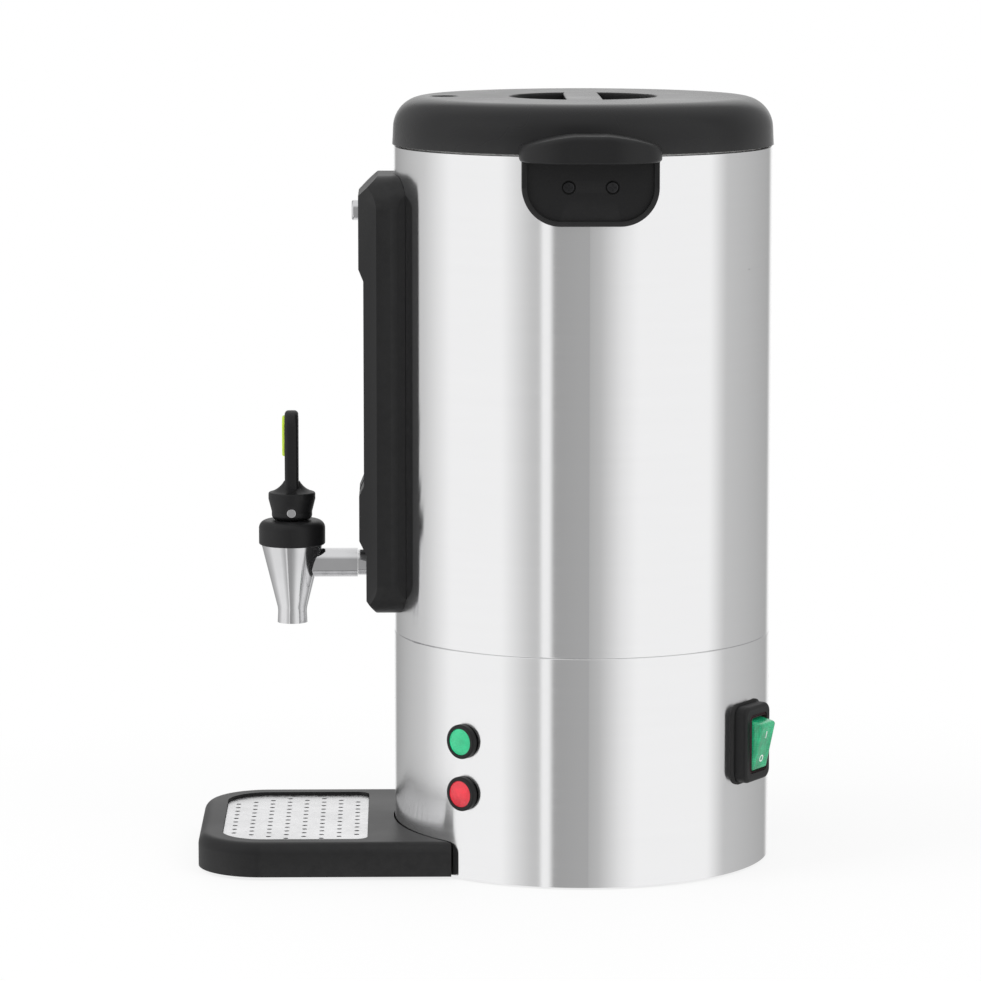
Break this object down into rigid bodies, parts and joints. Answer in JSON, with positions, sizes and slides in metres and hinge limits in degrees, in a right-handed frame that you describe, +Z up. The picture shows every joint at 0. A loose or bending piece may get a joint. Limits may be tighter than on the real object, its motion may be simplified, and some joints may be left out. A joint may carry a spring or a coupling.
{
  "type": "coffee urn",
  "caption": "Steel coffee urn on a round heated base, with a domed lid, side handles, sight glass column, lever tap, drip tray, pilot lamps and rocker switch.",
  "frame": {"origin": "on the tank's axis, at the surface the urn stands on", "axes": "+Z up, -Y towards the front where the tap and drip tray are, +X and -X towards the handles"},
  "size_m": [0.3, 0.3576, 0.47],
  "materials": {
    "brushed_steel": "brushed stainless sheet",
    "bright_steel": "polished stainless steel",
    "zinc_steel": "zinc plated",
    "aluminium": "spun, satin",
    "black_plastic": "satin moulded, fine texture",
    "red_plastic": "gloss",
    "green_inlay": "soft gloss lime green",
    "green_rocker": "translucent green",
    "green_lens": "translucent green, prismatic",
    "red_lens": "translucent red, prismatic",
    "boot_rubber": "dark sealing rubber",
    "rubber": "matt",
    "silicone": "translucent white silicone",
    "ceramic_white": "steatite",
    "clear_glass": "borosilicate tube"
  },
  "bodies": {
    "root": {"base_shell": "brushed_steel", "base_plate": "black_plastic", "feet": "rubber", "stay_posts": "zinc_steel", "base_screws": "zinc_steel", "heat_spreader": "aluminium", "boil_element": "zinc_steel", "warm_element": "zinc_steel", "thermostat": "ceramic_white", "thermal_cutout": "black_plastic", "terminal_block": "ceramic_white", "cord_gland": "black_plastic", "gland_nut": "black_plastic", "lamp_bezel_red": "black_plastic", "lamp_bezel_green": "black_plastic", "lamp_lens_red": "red_lens", "lamp_lens_green": "green_lens", "lamp_nuts": "black_plastic", "switch_gasket": "rubber", "switch_housing": "black_plastic", "switch_boot": "boot_rubber", "tank_shell": "brushed_steel", "handle_right": "black_plastic", "handle_left": "black_plastic", "handle_brackets": "zinc_steel", "handle_screws": "zinc_steel", "column_front": "black_plastic", "column_back": "black_plastic", "sight_glass": "clear_glass", "glass_seals": "silicone", "gauge_tee": "black_plastic", "gauge_cap": "black_plastic", "column_cap_screw": "bright_steel", "tap_shank": "bright_steel", "tap_nut": "bright_steel", "tap_washer": "silicone", "tap_body": "bright_steel", "tap_bonnet": "black_plastic", "tap_spring": "bright_steel"},
    "seal_ring": {"lid_seal": "silicone"},
    "lid": {"lid_shell": "black_plastic", "lid_cup": "black_plastic", "lid_liner": "brushed_steel", "lid_screws": "zinc_steel", "lid_vent": "black_plastic"},
    "percolator": {"pump_foot": "aluminium", "riser_tube": "aluminium"},
    "valve": {"pump_valve": "zinc_steel"},
    "basket": {"coffee_basket": "aluminium"},
    "cover": {"basket_cover": "aluminium"},
    "stem": {"tap_stem": "bright_steel", "seat_cup": "silicone", "lever_pin": "bright_steel"},
    "lever": {"tap_lever": "black_plastic", "lever_inlay": "green_inlay"},
    "rocker": {"switch_rocker": "green_rocker"},
    "tray": {"drip_tray": "black_plastic", "tray_feet": "rubber"},
    "grid": {"drip_grid": "brushed_steel"},
    "reset": {"reset_button": "red_plastic"}
  },
  "joints": [
    {"name": "lid_lift", "type": "slide", "parent": "root", "child": "seal_ring", "axis": [0, 0, 1], "range_m": [0, 0.4]},
    {"name": "lid_turn", "type": "hinge", "parent": "seal_ring", "child": "lid", "pos_m": [0, 0, 0.44], "axis": [0, 0, 1], "range_deg": [0, 30]},
    {"name": "percolator_out", "type": "slide", "parent": "root", "child": "percolator", "axis": [0, 0, 1], "range_m": [0, 0.33]},
    {"name": "basket_out", "type": "slide", "parent": "root", "child": "basket", "axis": [0, 0, 1], "range_m": [0, 0.35]},
    {"name": "cover_out", "type": "slide", "parent": "root", "child": "cover", "axis": [0, 0, 1], "range_m": [0, 0.37]},
    {"name": "valve_lift", "type": "slide", "parent": "percolator", "child": "valve", "axis": [0, 0, 1], "range_m": [0, 0.002]},
    {"name": "stem_lift", "type": "slide", "parent": "root", "child": "stem", "axis": [0, 0, 1], "range_m": [0, 0.00384], "stiffness_N_per_m": 1200, "springref_m": -0.002, "deforming": ["tap_spring"]},
    {"name": "lever_tilt", "type": "hinge", "parent": "stem", "child": "lever", "pos_m": [0, -0.1794, 0.2141], "axis": [1, 0, 0], "range_deg": [0, 25]},
    {"name": "rocker_tilt", "type": "hinge", "parent": "root", "child": "rocker", "pos_m": [0.06427, 0.10205, 0.08], "axis": [-0.8462, 0.5329, 0], "range_deg": [-25.4, 0]},
    {"name": "tray_slide", "type": "slide", "parent": "root", "child": "tray", "axis": [0, -1, 0], "range_m": [0, 0.12]},
    {"name": "grid_lift", "type": "slide", "parent": "tray", "child": "grid", "axis": [0, 0, 1], "range_m": [0, 0.06]},
    {"name": "reset_press", "type": "slide", "parent": "root", "child": "reset", "axis": [0, 0, 1], "range_m": [0, 0.0015], "stiffness_N_per_m": 600, "springref_m": -0.001}
  ],
  "couplings": [
    {"joint": "percolator_out", "follows": "lid_lift", "ratio": 0.8},
    {"joint": "basket_out", "follows": "lid_lift", "ratio": 0.85},
    {"joint": "cover_out", "follows": "lid_lift", "ratio": 0.9},
    {"joint": "lever_tilt", "follows": "stem_lift", "rad_per_m": 113.6}
  ]
}
